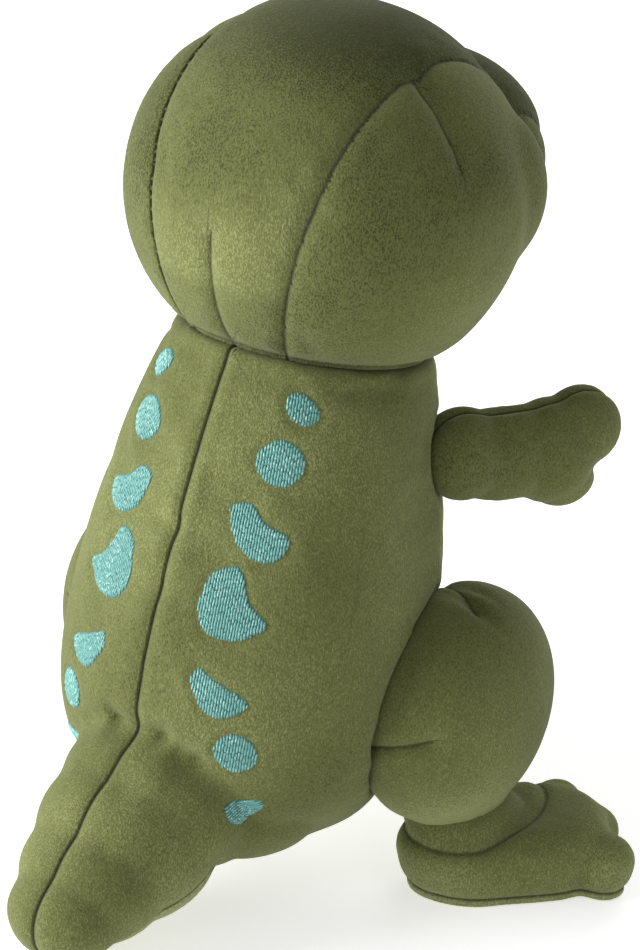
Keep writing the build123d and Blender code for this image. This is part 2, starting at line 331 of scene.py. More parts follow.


# %% [markdown]
# Velour for toys is knitted with a short dense pile. Seen close it is a fine grain, and where the
# pile leans another way it turns lighter or darker in soft patches. The material has both, a sheen
# for light that grazes the pile, and a dark line of painted shade in the crease along each seam.
# %% Pile fabric


def link(tree, start, end):
    tree.links.new(start, end)


def node(tree, kind, **settings):
    made = tree.nodes.new(kind)
    for key, value in settings.items():
        setattr(made, key, value)
    return made


def maths(tree, operation, first, second=None, third=None):
    made = node(tree, "ShaderNodeMath", operation=operation)
    for socket, value in zip(made.inputs, (first, second, third)):
        if value is None:
            continue
        if isinstance(value, (int, float)):
            socket.default_value = value
        else:
            link(tree, value, socket)
    return made.outputs[0]


def mix_colour(tree, amount, first, second, blend="MIX"):
    made = node(tree, "ShaderNodeMix", data_type="RGBA", blend_type=blend)
    for socket, value in zip((made.inputs[0], made.inputs[6], made.inputs[7]), (amount, first, second)):
        if isinstance(value, (int, float, tuple)):
            socket.default_value = value
        else:
            link(tree, value, socket)
    return made.outputs[2]


def noise(tree, vector, scale, detail, roughness=0.5):
    made = node(tree, "ShaderNodeTexNoise")
    link(tree, vector, made.inputs["Vector"])
    made.inputs["Scale"].default_value = scale
    made.inputs["Detail"].default_value = detail
    made.inputs["Roughness"].default_value = roughness
    return made.outputs[0]


def ramp(tree, value, low, high):
    made = node(tree, "ShaderNodeMapRange", interpolation_type="SMOOTHSTEP")
    link(tree, value, made.inputs[0])
    made.inputs[1].default_value = low
    made.inputs[2].default_value = high
    return made.outputs[0]


def attribute(tree, name):
    return node(tree, "ShaderNodeAttribute", attribute_name=name).outputs["Fac"]


def new_material(name):
    material = bpy.data.materials.new(name)
    material.use_nodes = True
    tree = material.node_tree
    return material, tree, tree.nodes["Principled BSDF"]


def pile_fabric(name, dark, middle, light, painted_seam_shade):
    material, tree, shader = new_material(name)
    place = node(tree, "ShaderNodeTexCoord").outputs["Object"]
    brushed = node(tree, "ShaderNodeMapping")
    brushed.inputs["Scale"].default_value = (1, 1, 0.55)
    link(tree, place, brushed.inputs[0])
    brushed = brushed.outputs[0]
    grain = noise(tree, brushed, 2300, 3, 0.6)
    tufts = noise(tree, brushed, 900, 2, 0.6)
    patches = noise(tree, place, 38, 3, 0.55)
    # The nap attribute holds the pile's random lean, and on the crown, the thighs and the feet it also holds
    # painted light and shade.
    lean_and_painted_light = attribute(tree, "nap_and_painted_light")
    tone = maths(tree, "MULTIPLY_ADD", ramp(tree, patches, 0.3, 0.7), 0.10, lean_and_painted_light)
    tone = maths(tree, "MULTIPLY_ADD", ramp(tree, tufts, 0.25, 0.75), 0.08, tone)
    tone = maths(tree, "MULTIPLY_ADD", ramp(tree, grain, 0.33, 0.67), 0.46, tone)
    tone = maths(tree, "SUBTRACT", tone, 0.21)
    lower = mix_colour(tree, ramp(tree, tone, 0.0, 0.5), dark, middle)
    colour = mix_colour(tree, ramp(tree, tone, 0.5, 1.0), lower, light)
    # Painted shade: within about a millimetre of a seam the colour is mixed towards the dark crease colour,
    # as the shade in the sewn crease.
    seam = maths(tree, "ABSOLUTE", attribute(tree, "seam"))
    wander = maths(tree, "MULTIPLY", maths(tree, "SUBTRACT", tufts, 0.5), 0.35)
    edge = maths(tree, "ADD", seam, wander)
    line = maths(tree, "SUBTRACT", 1.0, ramp(tree, edge, 0.1, 0.75))
    colour = mix_colour(tree, maths(tree, "MULTIPLY", line, 0.52), colour, painted_seam_shade)
    link(tree, colour, shader.inputs["Base Color"])
    shader.inputs["Roughness"].default_value = 0.92
    shader.inputs["Specular IOR Level"].default_value = 0.15
    shader.inputs["Sheen Weight"].default_value = 0.22
    shader.inputs["Sheen Roughness"].default_value = 0.5
    shader.inputs["Sheen Tint"].default_value = (0.72, 0.76, 0.50, 1)
    height = maths(tree, "ADD", maths(tree, "MULTIPLY", grain, 0.5), maths(tree, "MULTIPLY", tufts, 0.5))
    pile = node(tree, "ShaderNodeBump")
    pile.inputs["Strength"].default_value = 0.75
    pile.inputs["Distance"].default_value = 0.0007
    link(tree, height, pile.inputs["Height"])
    fold = node(tree, "ShaderNodeBump")
    fold.inputs["Strength"].default_value = 0.7
    fold.inputs["Distance"].default_value = 0.0007
    link(tree, ramp(tree, edge, 0.0, 1.1), fold.inputs["Height"])
    link(tree, pile.outputs[0], fold.inputs["Normal"])
    link(tree, fold.outputs[0], shader.inputs["Normal"])
    return material


def linear(red, green, blue, alpha=1.0):
    """A colour given as it looks on a screen."""
    return tuple(
        ((c + 0.055) / 1.055) ** 2.4 if c > 0.04045 else c / 12.92 for c in (red, green, blue)
    ) + (alpha,)


olive = pile_fabric(
    "olive_pile",
    linear(0.22, 0.235, 0.11),
    linear(0.39, 0.41, 0.235),
    linear(0.53, 0.555, 0.355),
    linear(0.13, 0.14, 0.07),
)
# A lighter copy of the pile for the belly, the tail's underside, the chin and the soles: partly a paler belly
# fabric, which is a guess, and partly painted light on the undersides.
pile_painted_lighter = pile_fabric(
    "belly_pile",
    linear(0.33, 0.35, 0.19),
    linear(0.49, 0.515, 0.33),
    linear(0.63, 0.65, 0.46),
    linear(0.17, 0.18, 0.10),
)

# %% [markdown]
# The filling is loose white fibre. It never shows, but each body has its own lump of it, made
# from the cover's own shape, drawn in and left uneven.
# %% Filling


def filling_material():
    material, tree, shader = new_material("fibre_filling")
    place = node(tree, "ShaderNodeTexCoord").outputs["Object"]
    strands = noise(tree, place, 260, 6, 0.7)
    shaded, lit = linear(0.78, 0.78, 0.76), linear(0.95, 0.95, 0.94)
    colour = mix_colour(tree, ramp(tree, strands, 0.3, 0.7), shaded, lit)
    link(tree, colour, shader.inputs["Base Color"])
    shader.inputs["Roughness"].default_value = 1.0
    bump = node(tree, "ShaderNodeBump")
    bump.inputs["Distance"].default_value = 0.001
    link(tree, strands, bump.inputs["Height"])
    link(tree, bump.outputs[0], shader.inputs["Normal"])
    return material


fibre = filling_material()


def stuffing(cover, name, node_name, body, inward=4.0):
    mesh = cover.data.copy()
    piece = bpy.data.objects.new(name, mesh)
    bpy.context.scene.collection.objects.link(piece)
    points = read_points(piece)
    waves = np.sin(points * np.array([0.35, 0.31, 0.27]))
    lumps = 0.5 + 0.5 * waves[:, 0] * waves[:, 1] * waves[:, 2]
    write_points(piece, points - read_normals(piece) * (inward + 1.2 * lumps)[:, None])
    apply(piece, "SMOOTH", factor=0.5, iterations=4)
    pick(piece)
    bpy.ops.object.shade_smooth()
    mesh.materials.clear()
    mesh.materials.append(fibre)
    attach(piece, body)
    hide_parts(node_name)
    return piece


def finish_panel(piece, material, body, replaced, blended=None):
    lined(piece)
    piece.data.materials.clear()
    piece.data.materials.append(material)
    if blended:
        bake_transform(piece)
    else:
        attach(piece, body)
    if replaced:
        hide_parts(*replaced)
    print(piece.name, "has", len(piece.data.polygons), "faces")


# %% [markdown]
# The body and the tail are one cover: two back panels meet along the spine and run out over the
# tail, and one belly panel turns under it. The cover is a skin round the model's torso and tail,
# with a short neck added so that it reaches the seam below the head.
# %% Body and tail cover


def neck_stub():
    bpy.ops.object.select_all(action="DESELECT")
    tilt = math.atan2(-TORSO_UP[1], TORSO_UP[2])
    centre = NECK - TORSO_UP * 9
    bpy.ops.mesh.primitive_cone_add(
        vertices=64, radius1=0.0405, radius2=0.0378, depth=0.019, location=centre * MM, rotation=(tilt, 0, 0)
    )
    piece = bpy.context.object
    bpy.ops.object.transform_apply(location=True, rotation=True, scale=True)
    return piece


def torso_drop(points):
    return -(points - NECK) @ TORSO_UP


def side_seam(points):
    """Positive towards the back and the top of the tail."""
    on_torso = (points - NECK) @ TORSO_BACK + SIDE_SEAM_FORWARD
    on_tail = (points - TAIL_ROOT) @ TAIL_TOP + TAIL_SEAM_DROP
    share = smoothstep(TAIL_ROOT[1] - 12, TAIL_ROOT[1] + 34, points[:, 1])
    return on_torso * (1 - share) + on_tail * share


def body_seams(points):
    """Spine, side seams and neck seam."""
    sides = side_seam(points)
    spine = only_where(points[:, 0], sides)
    return nearest(spine, sides, torso_drop(points) + 0.5)


body_cover = join_solids(
    "body_cover",
    ["back_panel_right", "back_panel_left", "belly_panel", "torso_stuffing", "tail_panel_right",
     "tail_panel_left", "tail_underside_panel", "tail_stuffing"],
    [
        neck_stub(),
        ball(np.array([0, TAIL_ROOT[1] + 26, 35.5]), (29, 30, 26)),
        ball(np.array([0, TAIL_ROOT[1] + 3, 34]), (40, 30, 22)),
        ball(TAIL_ROOT + TAIL_LINE * 44, (27, 26, 25)),
        ball(TAIL_ROOT + TAIL_LINE * 61, (22.5, 20, 19)),
        ball(TAIL_TIP + TAIL_LINE * 1.5, (17.5, 14.5, 14.2)),
    ],
)
one_skin(body_cover, 2.4, 8)
fill_cover(body_cover, body_seams(read_points(body_cover)), pull=0.5, pressure=3.0, spare=0.012, cap=3.2)
grounded = read_points(body_cover)
grounded[:, 2] = np.maximum(grounded[:, 2], 0.8)
write_points(body_cover, grounded)
refine(body_cover)


# %% [markdown]
# Soft dents show where the filling is thin: across the small of the back, above the tail and on
# the tail's upper side. Each dent is a shallow hollow with soft edges.
# %% Dents


def dent_in(piece, centre, radii, depth):
    """A soft hollow; radii along X, Y and Z."""
    points = read_points(piece)
    reach = ((points - np.array(centre)) / np.array(radii)) ** 2
    amount = depth * np.exp(-reach.sum(axis=1))
    write_points(piece, points - read_normals(piece) * amount[:, None])


def torso_point(drop, angle, radius):
    """A place near the torso's surface; the angle goes from the spine to the toy's right."""
    around = math.radians(angle)
    out = TORSO_BACK * math.cos(around) + RIGHTWARD * math.sin(around)
    return NECK - TORSO_UP * drop + out * radius


BODY_DENTS = [
    (torso_point(52, -4, 49), (9, 6, 3.5), 1.6),
    (torso_point(57, 16, 50), (10, 6, 3.0), 1.2),
    (torso_point(70, -8, 52), (8, 6, 3.5), 1.2),
    (torso_point(30, 6, 45), (4, 6, 8), 0.8),
    (torso_point(98, 10, 54), (9, 7, 5), 1.0),
    (TAIL_ROOT + TAIL_LINE * 42 + TAIL_TOP * 24 + RIGHTWARD * 6, (6, 8, 6), 1.4),
    (TAIL_ROOT + TAIL_LINE * 30 + TAIL_TOP * 22 + RIGHTWARD * 16, (5, 8, 5), 1.2),
]
for centre, radii, depth in BODY_DENTS:
    dent_in(body_cover, centre, radii, depth)

# %% [markdown]
# The cover is cut along the spine and the side seams. Where embroidery comes, the pile is pressed
# down, and the way the pile leans is kept on the mesh for the material.
# %% Body panels


def body_panel(points):
    return np.where(side_seam(points) <= 0, 0, np.where(points[:, 0] < 0, 1, 2))


def body_cuts(points):
    return nearest(side_seam(points), only_where(points[:, 0], side_seam(points)))


even_edges(body_cover, body_panel, body_cuts)
press_groove(body_cover, body_seams(read_points(body_cover)), 0.7, 1.3)

spot_names = {side: [f"spot_{side}_{number}" for number in range(1, 8)] for side in SIDES}
spot_trees = {}
for names in spot_names.values():
    for spot_name in names:
        spot_trees[spot_name] = tree_of(nodes[spot_name])


def sink_under(piece, node_name, depth, margin):
    """Presses the pile down where embroidery pulls it in."""
    low, high = box(node_name)
    points = read_points(piece)
    normals = read_normals(piece)
    near = np.all((points > low - 4) & (points < high + 4), axis=1)
    tree = spot_trees[node_name]
    for index in np.nonzero(near)[0]:
        _, _, _, distance = tree.find_nearest(Vector(points[index] * MM))
        amount = depth * (1 - smoothstep(0.4, margin, distance * 1000))
        points[index] -= normals[index] * amount
    write_points(piece, points)


for names in spot_names.values():
    for spot_name in names:
        sink_under(body_cover, spot_name, 0.5, 2.2)


def lean_of_pile(points, seed):
    """Soft broad patches where the pile leans another way, from 0 to about 0.4."""
    random = np.random.default_rng(seed)
    lean = np.zeros(len(points))
    for _ in range(9):
        wave = random.normal(size=3) * 0.045
        lean += np.sin(points @ wave + random.uniform(0, 6.28))
    return 0.42 + 0.05 * lean


keep_value(body_cover, "nap_and_painted_light", lean_of_pile(read_points(body_cover), 3))
body_bend = bend_between("torso", "tail", TAIL_ROOT + TAIL_LINE * -6, TAIL_ROOT + TAIL_LINE * 40)
panels = {
    "back_cover_right": (lambda p: body_panel(p) == 1, ["back_panel_right", "tail_panel_right"]),
    "back_cover_left": (lambda p: body_panel(p) == 2, ["back_panel_left", "tail_panel_left"]),
}
for name, (inside, replaced) in panels.items():
    piece = panel(body_cover, name, inside)
    finish_panel(piece, olive, None, replaced, body_bend)
belly = panel(body_cover, "belly_cover", lambda p: body_panel(p) == 0)
finish_panel(belly, pile_painted_lighter, None, ["belly_panel", "tail_underside_panel"], body_bend)
body_tree = tree_of(body_cover)
bpy.data.objects.remove(body_cover)

# %% [markdown]
# The torso and the tail share a cover but move on their own, so each has its own filling.
# %% Body and tail filling

for body, inward in (("torso", 3.0), ("tail", 2.0)):
    form = join_solids(f"{body}_form", [f"{body}_stuffing"])
    one_skin(form, 3, 3)
    stuffing(form, f"{body}_filling", f"{body}_stuffing", body, inward=inward)
    bpy.data.objects.remove(form)

# %% [markdown]
# Embroidery is rows of satin thread laid side by side. Each row is a low rounded strand, laid on
# the cover inside the outline of the model's own patch, with a dip where one stitch ends and the
# next begins. The outer ends sink into the pile.
# %% Embroidery


def thread_material(name, deep, middle, shine):
    material, tree, shader = new_material(name)
    place = node(tree, "ShaderNodeTexCoord").outputs["Object"]
    along = node(tree, "ShaderNodeMapping")
    along.inputs["Scale"].default_value = (1, 1, 0.25)
    link(tree, place, along.inputs[0])
    fibres = noise(tree, along.outputs[0], 2600, 2, 0.6)
    patches = noise(tree, place, 160, 2, 0.5)
    height = attribute(tree, "strand")
    # Painted shade and highlight: the thread is darker where its strand is low, at its edges, its ends and
    # the dips between stitches, and the shine colour is a painted glint on its top.
    colour = mix_colour(tree, ramp(tree, height, 0.15, 0.85), deep, middle)
    glint = maths(tree, "MULTIPLY", ramp(tree, fibres, 0.45, 0.75), ramp(tree, height, 0.4, 1.0))
    glint = maths(tree, "MULTIPLY", glint, maths(tree, "ADD", 0.35, ramp(tree, patches, 0.35, 0.65)))
    colour = mix_colour(tree, glint, colour, shine)
    link(tree, colour, shader.inputs["Base Color"])
    shader.inputs["Roughness"].default_value = 0.42
    shader.inputs["Specular IOR Level"].default_value = 0.5
    shader.inputs["Sheen Weight"].default_value = 0.2
    bump = node(tree, "ShaderNodeBump")
    bump.inputs["Strength"].default_value = 0.5
    bump.inputs["Distance"].default_value = 0.0002
    link(tree, fibres, bump.inputs["Height"])
    link(tree, bump.outputs[0], shader.inputs["Normal"])
    return material


teal = thread_material(
    "teal_thread", linear(0.15, 0.38, 0.37), linear(0.36, 0.62, 0.59), linear(0.74, 0.93, 0.89)
)
dark_thread = thread_material(
    "dark_thread", linear(0.03, 0.03, 0.03), linear(0.09, 0.09, 0.08), linear(0.25, 0.25, 0.23)
)


# %% [markdown]
# One function lays the rows for any patch. A ray along the outward line finds where a row is
# inside the model's patch, and further rays find the cover under each point of the strand.
# %% Laying the thread


def embroider(name, node_name, ground, outward, up, material, pitch=0.8, rise=0.62, stitch=2.3, seed=1):
    """Rows of thread along up, inside the outline of a model patch, lying on the ground."""
    patch = spot_trees[node_name]
    low, high = box(node_name)
    centre = (low + high) / 2
    outward = unit(outward)
    across = unit(np.cross(up, outward))
    up = unit(np.cross(outward, across))
    reach = np.linalg.norm(high - low) / 2 + 1
    random = np.random.default_rng(seed)
    step = 0.25
    levels = np.arange(-reach, reach, step)
    profile = [(-0.52, 0.0), (-0.36, 0.72), (0.0, 1.0), (0.36, 0.72), (0.52, 0.0)]
    mesh = bmesh.new()
    layer = mesh.verts.layers.float.new("strand")
    look = Vector(-outward)
    for row in np.arange(-reach, reach, pitch):
        inside = []
        for level in levels:
            start = (centre + across * row + up * level + outward * 25) * MM
            inside.append(patch.ray_cast(Vector(start), look, 0.05)[0] is not None)
        runs, begin = [], None
        for level, now in zip(levels, inside + [False]):
            if now and begin is None:
                begin = level
            if not now and begin is not None:
                runs.append((begin, level))
                begin = None
        if begin is not None:
            runs.append((begin, levels[-1]))
        for first, last in runs:
            if last - first < 0.8:
                continue
            first += random.uniform(-0.25, 0.1)
            last += random.uniform(-0.1, 0.25)
            phase = random.uniform(0, stitch)
            count = max(4, int((last - first) / 0.4))
            previous = None
            for index in range(count + 1):
                level = first + (last - first) * index / count
                from_end = min(level - first, last - level)
                end = math.sqrt(min(1.0, max(0.0, from_end) / 1.1))
                seat = abs(((level + phase) / stitch) % 1 - 0.5) * 2
                dip = 1 - 0.6 * max(0.0, (seat - 0.72) / 0.28)
                ring = []
                for share, height in profile:
                    where = row + share * pitch + 0.05 * math.sin(level * 1.7 + row)
                    start = (centre + across * where + up * level + outward * 25) * MM
                    hit, normal, _, _ = ground.ray_cast(Vector(start), look, 0.05)
                    if hit is None:
                        ring = None
                        break
                    lift = (rise * height * end * dip + 0.28 * end - 0.35) * MM
                    vertex = mesh.verts.new(hit + normal * lift)
                    vertex[layer] = height * end * dip
                    ring.append(vertex)
                if ring and previous:
                    for a, b, c, d in zip(previous, previous[1:], ring[1:], ring):
                        mesh.faces.new((a, b, c, d))
                previous = ring
    data = bpy.data.meshes.new(name)
    bmesh.ops.recalc_face_normals(mesh, faces=mesh.faces)
    mesh.to_mesh(data)
    mesh.free()
    piece = bpy.data.objects.new(name, data)
    bpy.context.scene.collection.objects.link(piece)
    normals = np.empty(len(data.polygons) * 3)
    data.polygons.foreach_get("normal", normals)
    if (normals.reshape(-1, 3) @ outward).sum() < 0:
        data.flip_normals()
    data.polygons.foreach_set("use_smooth", [True] * len(data.polygons))
    data.materials.append(material)
    return piece


# %% [markdown]
# Seven spots run down each side of the spine: six on the back and one on the tail.
# %% Spots

for side, direction in SIDES.items():
    for number, spot_name in enumerate(spot_names[side], start=1):
        low, high = box(spot_name)
        centre = (low + high) / 2
        on_tail = number == 7
        axis_point = TAIL_ROOT if on_tail else NECK
        axis = TAIL_LINE if on_tail else TORSO_UP
        out = centre - axis_point
        out = out - axis * (out @ axis)
        up = -TAIL_LINE if on_tail else TORSO_UP
        piece = embroider(
            f"embroidered_{spot_name}", spot_name, body_tree, out, up, teal, seed=number + 10 * direction + 20
        )
        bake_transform(piece)
        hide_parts(spot_name)
print("embroidered", 2 * len(spot_names["right"]), "spots")

# %% [markdown]
# The head is one cover too: a gusset runs from the nape over the crown to the nose, a side panel
# is sewn to each edge of it, and a chin panel closes it below. Short darts shape the nape and
# the cheeks, and the sunk eyes draw the fabric in between the cheek and the muzzle.
# %% Head cover

CHIN_TOP = HEAD_MIDDLE[2] - 17
NAPE_DART_TOP = HEAD_MIDDLE[2] + 1
CHEEK_DART_Y = HEAD_MIDDLE[1] + 6
CHEEK_DART_END = HEAD_MIDDLE[2] + 22
NECK_BALL = joint_place("neck_turn")
GUSSET_HALF_WIDTH = 32
GUSSET_LESS_AT_NAPE = 15.5
GUSSET_LESS_AT_NOSE = 4
EYE_ASIDE = 36.0
EYE_ABOVE = 10.0


def eye_place(direction):
    """Where the eye's button sits on the skull, and the way it looks."""
    x, rise = direction * EYE_ASIDE, EYE_ABOVE
    depth = -SKULL_RADII[1] * math.sqrt(1 - (x / SKULL_RADII[0]) ** 2 - (rise / SKULL_RADII[2]) ** 2)
    offset = np.array([x, depth, rise])
    return HEAD_MIDDLE + offset, unit(offset / SKULL_RADII**2)


def crown_seam(points):
    """Positive on the side panels. The gusset widens from the nape to the top of the head."""
    around = np.degrees(np.arctan2(points[:, 2] - HEAD_MIDDLE[2], points[:, 1] - HEAD_MIDDLE[1]))
    around = np.where(around < -90, around + 360, around)
    to_nape = np.clip((80 - around) / 122, 0, 1)
    to_nose = smoothstep(90, 180, around)
    half_width = GUSSET_HALF_WIDTH - GUSSET_LESS_AT_NAPE * to_nape**2 - GUSSET_LESS_AT_NOSE * to_nose
    return np.abs(points[:, 0]) - half_width


def chin_seam(points):
    return points[:, 2] - CHIN_TOP


def cheek_dart(points):
    """A short dart down each side panel, from the crown seam."""
    slant = points[:, 1] - CHEEK_DART_Y - 0.12 * (HEAD_TOP - points[:, 2])
    inside = np.minimum(points[:, 2] - CHEEK_DART_END, crown_seam(points))
    return only_where(slant, inside)


def head_seams(points):
    crown = crown_seam(points)
    front = points[:, 1] < HEAD_MIDDLE[1]
    chin = only_where(chin_seam(points), np.where(front, -crown, -30.0))
    nape = only_where(points[:, 0], np.where(front, -30.0, NAPE_DART_TOP - points[:, 2]))
    return nearest(crown, chin, nape, cheek_dart(points), -torso_drop(points) - 0.5)


# %% [markdown]
# The skull and the muzzle are filled out at the cheeks and the brows, so that the side of the
# head runs smoothly to the nose. Small balls close the holes that the eyes' stems leave.
# %% Head filling and shaping

eye_fillers = [ball(eye_place(side)[0] - eye_place(side)[1] * 9.5, (8.5, 8.5, 8.5)) for side in (-1, 1)]
cheeks = [ball(HEAD_MIDDLE + np.array([side * 37, -24, 3.0]), (17, 20, 24)) for side in (-1, 1)]
brows = [ball(HEAD_MIDDLE + np.array([side * 20, -26, 20.0]), (19, 20, 17)) for side in (-1, 1)]
head_cover = join_solids(
    "head_cover",
    ["head_crown_panel", "head_side_panel_right", "head_side_panel_left", "head_chin_panel", "head_stuffing"],
    [ball(NECK_BALL, (35, 35, 35)), *eye_fillers, *cheeks, *brows],
)
one_skin(head_cover, 2.4, 10)
fill_cover(head_cover, head_seams(read_points(head_cover)), pull=0.8, pressure=2.6, spare=0.012, cap=3.5)
stuffing(head_cover, "head_filling", "head_stuffing", "head")
refine(head_cover)
for direction in SIDES.values():
    place, looking = eye_place(direction)
    dent_in(head_cover, place + looking * 2, (9, 9, 9), 3.2)
    dart_top = HEAD_MIDDLE + np.array([direction * 35, 6, 41])
    dart_foot = HEAD_MIDDLE + np.array([direction * 50, 9, 26])
    dent_in(head_cover, dart_top, (6, 5, 7), 2.6)
    dent_in(head_cover, (dart_top + dart_foot) / 2, (8, 4.5, 9), 1.6)
    dent_in(head_cover, HEAD_MIDDLE + np.array([direction * 29, 44, 12]), (5, 6, 5), 0.7)

# %% [markdown]
# The filled head is cut into its four panels. The top of the crown is painted darker than its
# back, as painted shade, and the chin panel is of the lighter fabric, which is painted light.
# %% Head panels


def head_panel(points):
    """0 is cut away, then crown, right side, left side and chin."""
    chin = (points[:, 1] < HEAD_MIDDLE[1]) & (chin_seam(points) < 0)
    middle = np.where(chin, 4, 1)
    sides = np.where(points[:, 0] < 0, 2, 3)
    return np.where(torso_drop(points) > 0.6, 0, np.where(crown_seam(points) > 0, sides, middle))


def head_cuts(points):
    front = np.where(points[:, 1] < HEAD_MIDDLE[1], -crown_seam(points), -30.0)
    return nearest(crown_seam(points), only_where(chin_seam(points), front), 0.6 - torso_drop(points))


even_edges(head_cover, head_panel, head_cuts)
head_points = read_points(head_cover)
press_groove(head_cover, head_seams(head_points), 0.65, 1.2)
from_middle = head_points - HEAD_MIDDLE
top_front = smoothstep(0, 1, (from_middle[:, 2] - 8 - from_middle[:, 1] * 0.5) / 46)
above_chin = 1 - smoothstep(CHIN_TOP + 6, CHIN_TOP, head_points[:, 2])
crown_share = smoothstep(1.0, -1.0, crown_seam(head_points)) * above_chin
# Painted shade and light: the top and front of the crown are painted darker and its back lighter; the side
# and chin panels are a little darker.
lean = lean_of_pile(head_points, 7) - 0.55 * top_front * crown_share - 0.08 * (1 - crown_share)
keep_value(head_cover, "nap_and_painted_light", lean + 0.10 * (1 - top_front) * crown_share)
head_bend = bend_between("neck", "head", NECK + TORSO_UP * -2, NECK + TORSO_UP * 34)

head_panels = {
    1: ("crown_cover", "head_crown_panel", olive, "olive_pile"),
    2: ("side_cover_right", "head_side_panel_right", olive, "olive_pile"),
    3: ("side_cover_left", "head_side_panel_left", olive, "olive_pile"),
    4: ("chin_cover", "head_chin_panel", pile_painted_lighter, "belly_pile"),
}
for number, (name, replaced, material, slot) in head_panels.items():
    piece = panel(head_cover, name, lambda p: head_panel(p) == number)
    finish_panel(piece, material, None, [replaced], head_bend)
head_tree = tree_of(head_cover)
bpy.data.objects.remove(head_cover)

# %% [markdown]
# Inside the neck a round lump of filling turns with the head.
# %% Neck filling

neck_form = ball(NECK_BALL, (32.5, 32.5, 32.5))
neck_form.name = "neck_form"
stuffing(neck_form, "neck_filling", "neck_stuffing", "neck", inward=0.5)
bpy.data.objects.remove(neck_form)

# %% [markdown]
# The face is a domed button on each side and three pieces of dark embroidery. The buttons and
# the washers behind the fabric are the model's own shapes, with a finish of their own.
# %% Face


def glossy_button():
    material, tree, shader = new_material("black_button")
    place = node(tree, "ShaderNodeTexCoord").outputs["Object"]
    haze = noise(tree, place, 900, 3, 0.6)
    deep, soft = linear(0.025, 0.022, 0.02), linear(0.05, 0.045, 0.04)
    colour = mix_colour(tree, ramp(tree, haze, 0.35, 0.65), deep, soft)
    link(tree, colour, shader.inputs["Base Color"])
    link(tree, maths(tree, "MULTIPLY_ADD", haze, 0.08, 0.06), shader.inputs["Roughness"])
    shader.inputs["Coat Weight"].default_value = 0.6
    shader.inputs["Coat Roughness"].default_value = 0.04
    return material


def moulded_washer():
    material, tree, shader = new_material("white_washer")
    place = node(tree, "ShaderNodeTexCoord").outputs["Object"]
    frost = noise(tree, place, 1400, 3, 0.6)
    colour = mix_colour(tree, ramp(tree, frost, 0.3, 0.7), linear(0.78, 0.77, 0.73), linear(0.90, 0.89, 0.86))
    link(tree, colour, shader.inputs["Base Color"])
    shader.inputs["Roughness"].default_value = 0.5
    bump = node(tree, "ShaderNodeBump")
    bump.inputs["Strength"].default_value = 0.3
    bump.inputs["Distance"].default_value = 0.0001
    link(tree, frost, bump.inputs["Height"])
    link(tree, bump.outputs[0], shader.inputs["Normal"])
    return material


def repaint(node_name, material):
    nodes[node_name].data.materials.clear()
    nodes[node_name].data.materials.append(material)


button, washer = glossy_button(), moulded_washer()
for side in SIDES:
    repaint(f"eye_{side}", button)
    repaint(f"eye_washer_{side}", washer)

for stitched in ("nostril_right", "nostril_left", "mouth"):
    spot_trees[stitched] = tree_of(nodes[stitched])
    rows = dict(pitch=0.7, rise=0.5, stitch=5)
    up = (1, 0, 0) if stitched == "mouth" else (0, 0, 1)
    name = f"stitched_{stitched}"
    piece = embroider(name, stitched, head_tree, (0, -1, 0), up, dark_thread, seed=5, **rows)
    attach(piece, "head")
    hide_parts(stitched)

# %% [markdown]
# Each arm is two panels sewn along the top and the bottom edge. The seam draws in between two
# soft lobes at the end, which makes a hand without any fingers.
# %% Arms

for side, direction in SIDES.items():
    hinge = joint_place(f"arm_lift_{side}")
    across_arm = unit(joints[f"arm_lift_{side}"]["axis"])
    along_arm = np.cross((0, 0, 1), across_arm)
    outer_sign = 1 if across_arm[0] * direction > 0 else -1
    arm_turn = (0, 0, math.atan2(along_arm[1], along_arm[0]))
    lift = np.array([0.0, 0.0, 1.0])
    forms = [
        ball(hinge, (13.5, 13.5, 14)),
        ball(hinge + along_arm * 14 - lift * 1.2, (23, 13, 14.4), arm_turn),
        ball(hinge + along_arm * 27.5 - lift * 2.2, (14.5, 14, 16), arm_turn),
        ball(hinge + along_arm * 37.5 + lift * 4.5, (12, 11.5, 12.3), arm_turn),
        ball(hinge + along_arm * 31.5 - lift * 9.6, (11.5, 10, 10.4), arm_turn),
    ]
    arm_cover = join_solids(f"arm_cover_{side}", [], forms)
    one_skin(arm_cover, 1.6, 5)

    def arm_seam(points):
        return (points - hinge) @ across_arm * outer_sign

    points = read_points(arm_cover)
    edge = arm_seam(points)
    write_points(arm_cover, points - (across_arm * outer_sign)[None] * (edge * 0.10)[:, None])
    fill_cover(arm_cover, np.abs(arm_seam(read_points(arm_cover))), 0.8, 2.6, 0.012, cap=2.0)
    stuffing(arm_cover, f"arm_filling_{side}", f"arm_stuffing_{side}", f"arm_{side}", inward=4.0)
    refine(arm_cover)
    dent_in(arm_cover, hinge + along_arm * 43 - lift * 7.5, (5, 7, 2.8), 1.6)
    dent_in(arm_cover, hinge + along_arm * 13 + np.array([0, 0, 13.0]), (6, 6, 5), 0.8)
    for pucker in (10, 15, 20):
        dent_in(arm_cover, hinge + along_arm * pucker + np.array([0, 0, -12.5]), (1.6, 1.6, 5), 0.5)
    even_edges(arm_cover, lambda p: (arm_seam(p) > 0).astype(int), arm_seam)
    press_groove(arm_cover, arm_seam(read_points(arm_cover)), 0.7, 1.2)
    keep_value(arm_cover, "nap_and_painted_light", lean_of_pile(read_points(arm_cover), 20 + direction) - 0.10)
    arm_bend = bend_between("torso", f"arm_{side}", hinge - along_arm * 2, hinge + along_arm * 9)
    for part, sign in (("outer", 1), ("inner", -1)):
        piece = panel(arm_cover, f"arm_{part}_cover_{side}", lambda p: arm_seam(p) * sign > 0)
        finish_panel(piece, olive, None, [f"arm_{part}_panel_{side}"], arm_bend)
    bpy.data.objects.remove(arm_cover)

# %% [markdown]
# A thigh is a round cushion sewn to the side of the body. A dart shapes it at the back, a pleat
# gathers it at the top, and its lower edge rolls over the ankle.
# %% Thighs

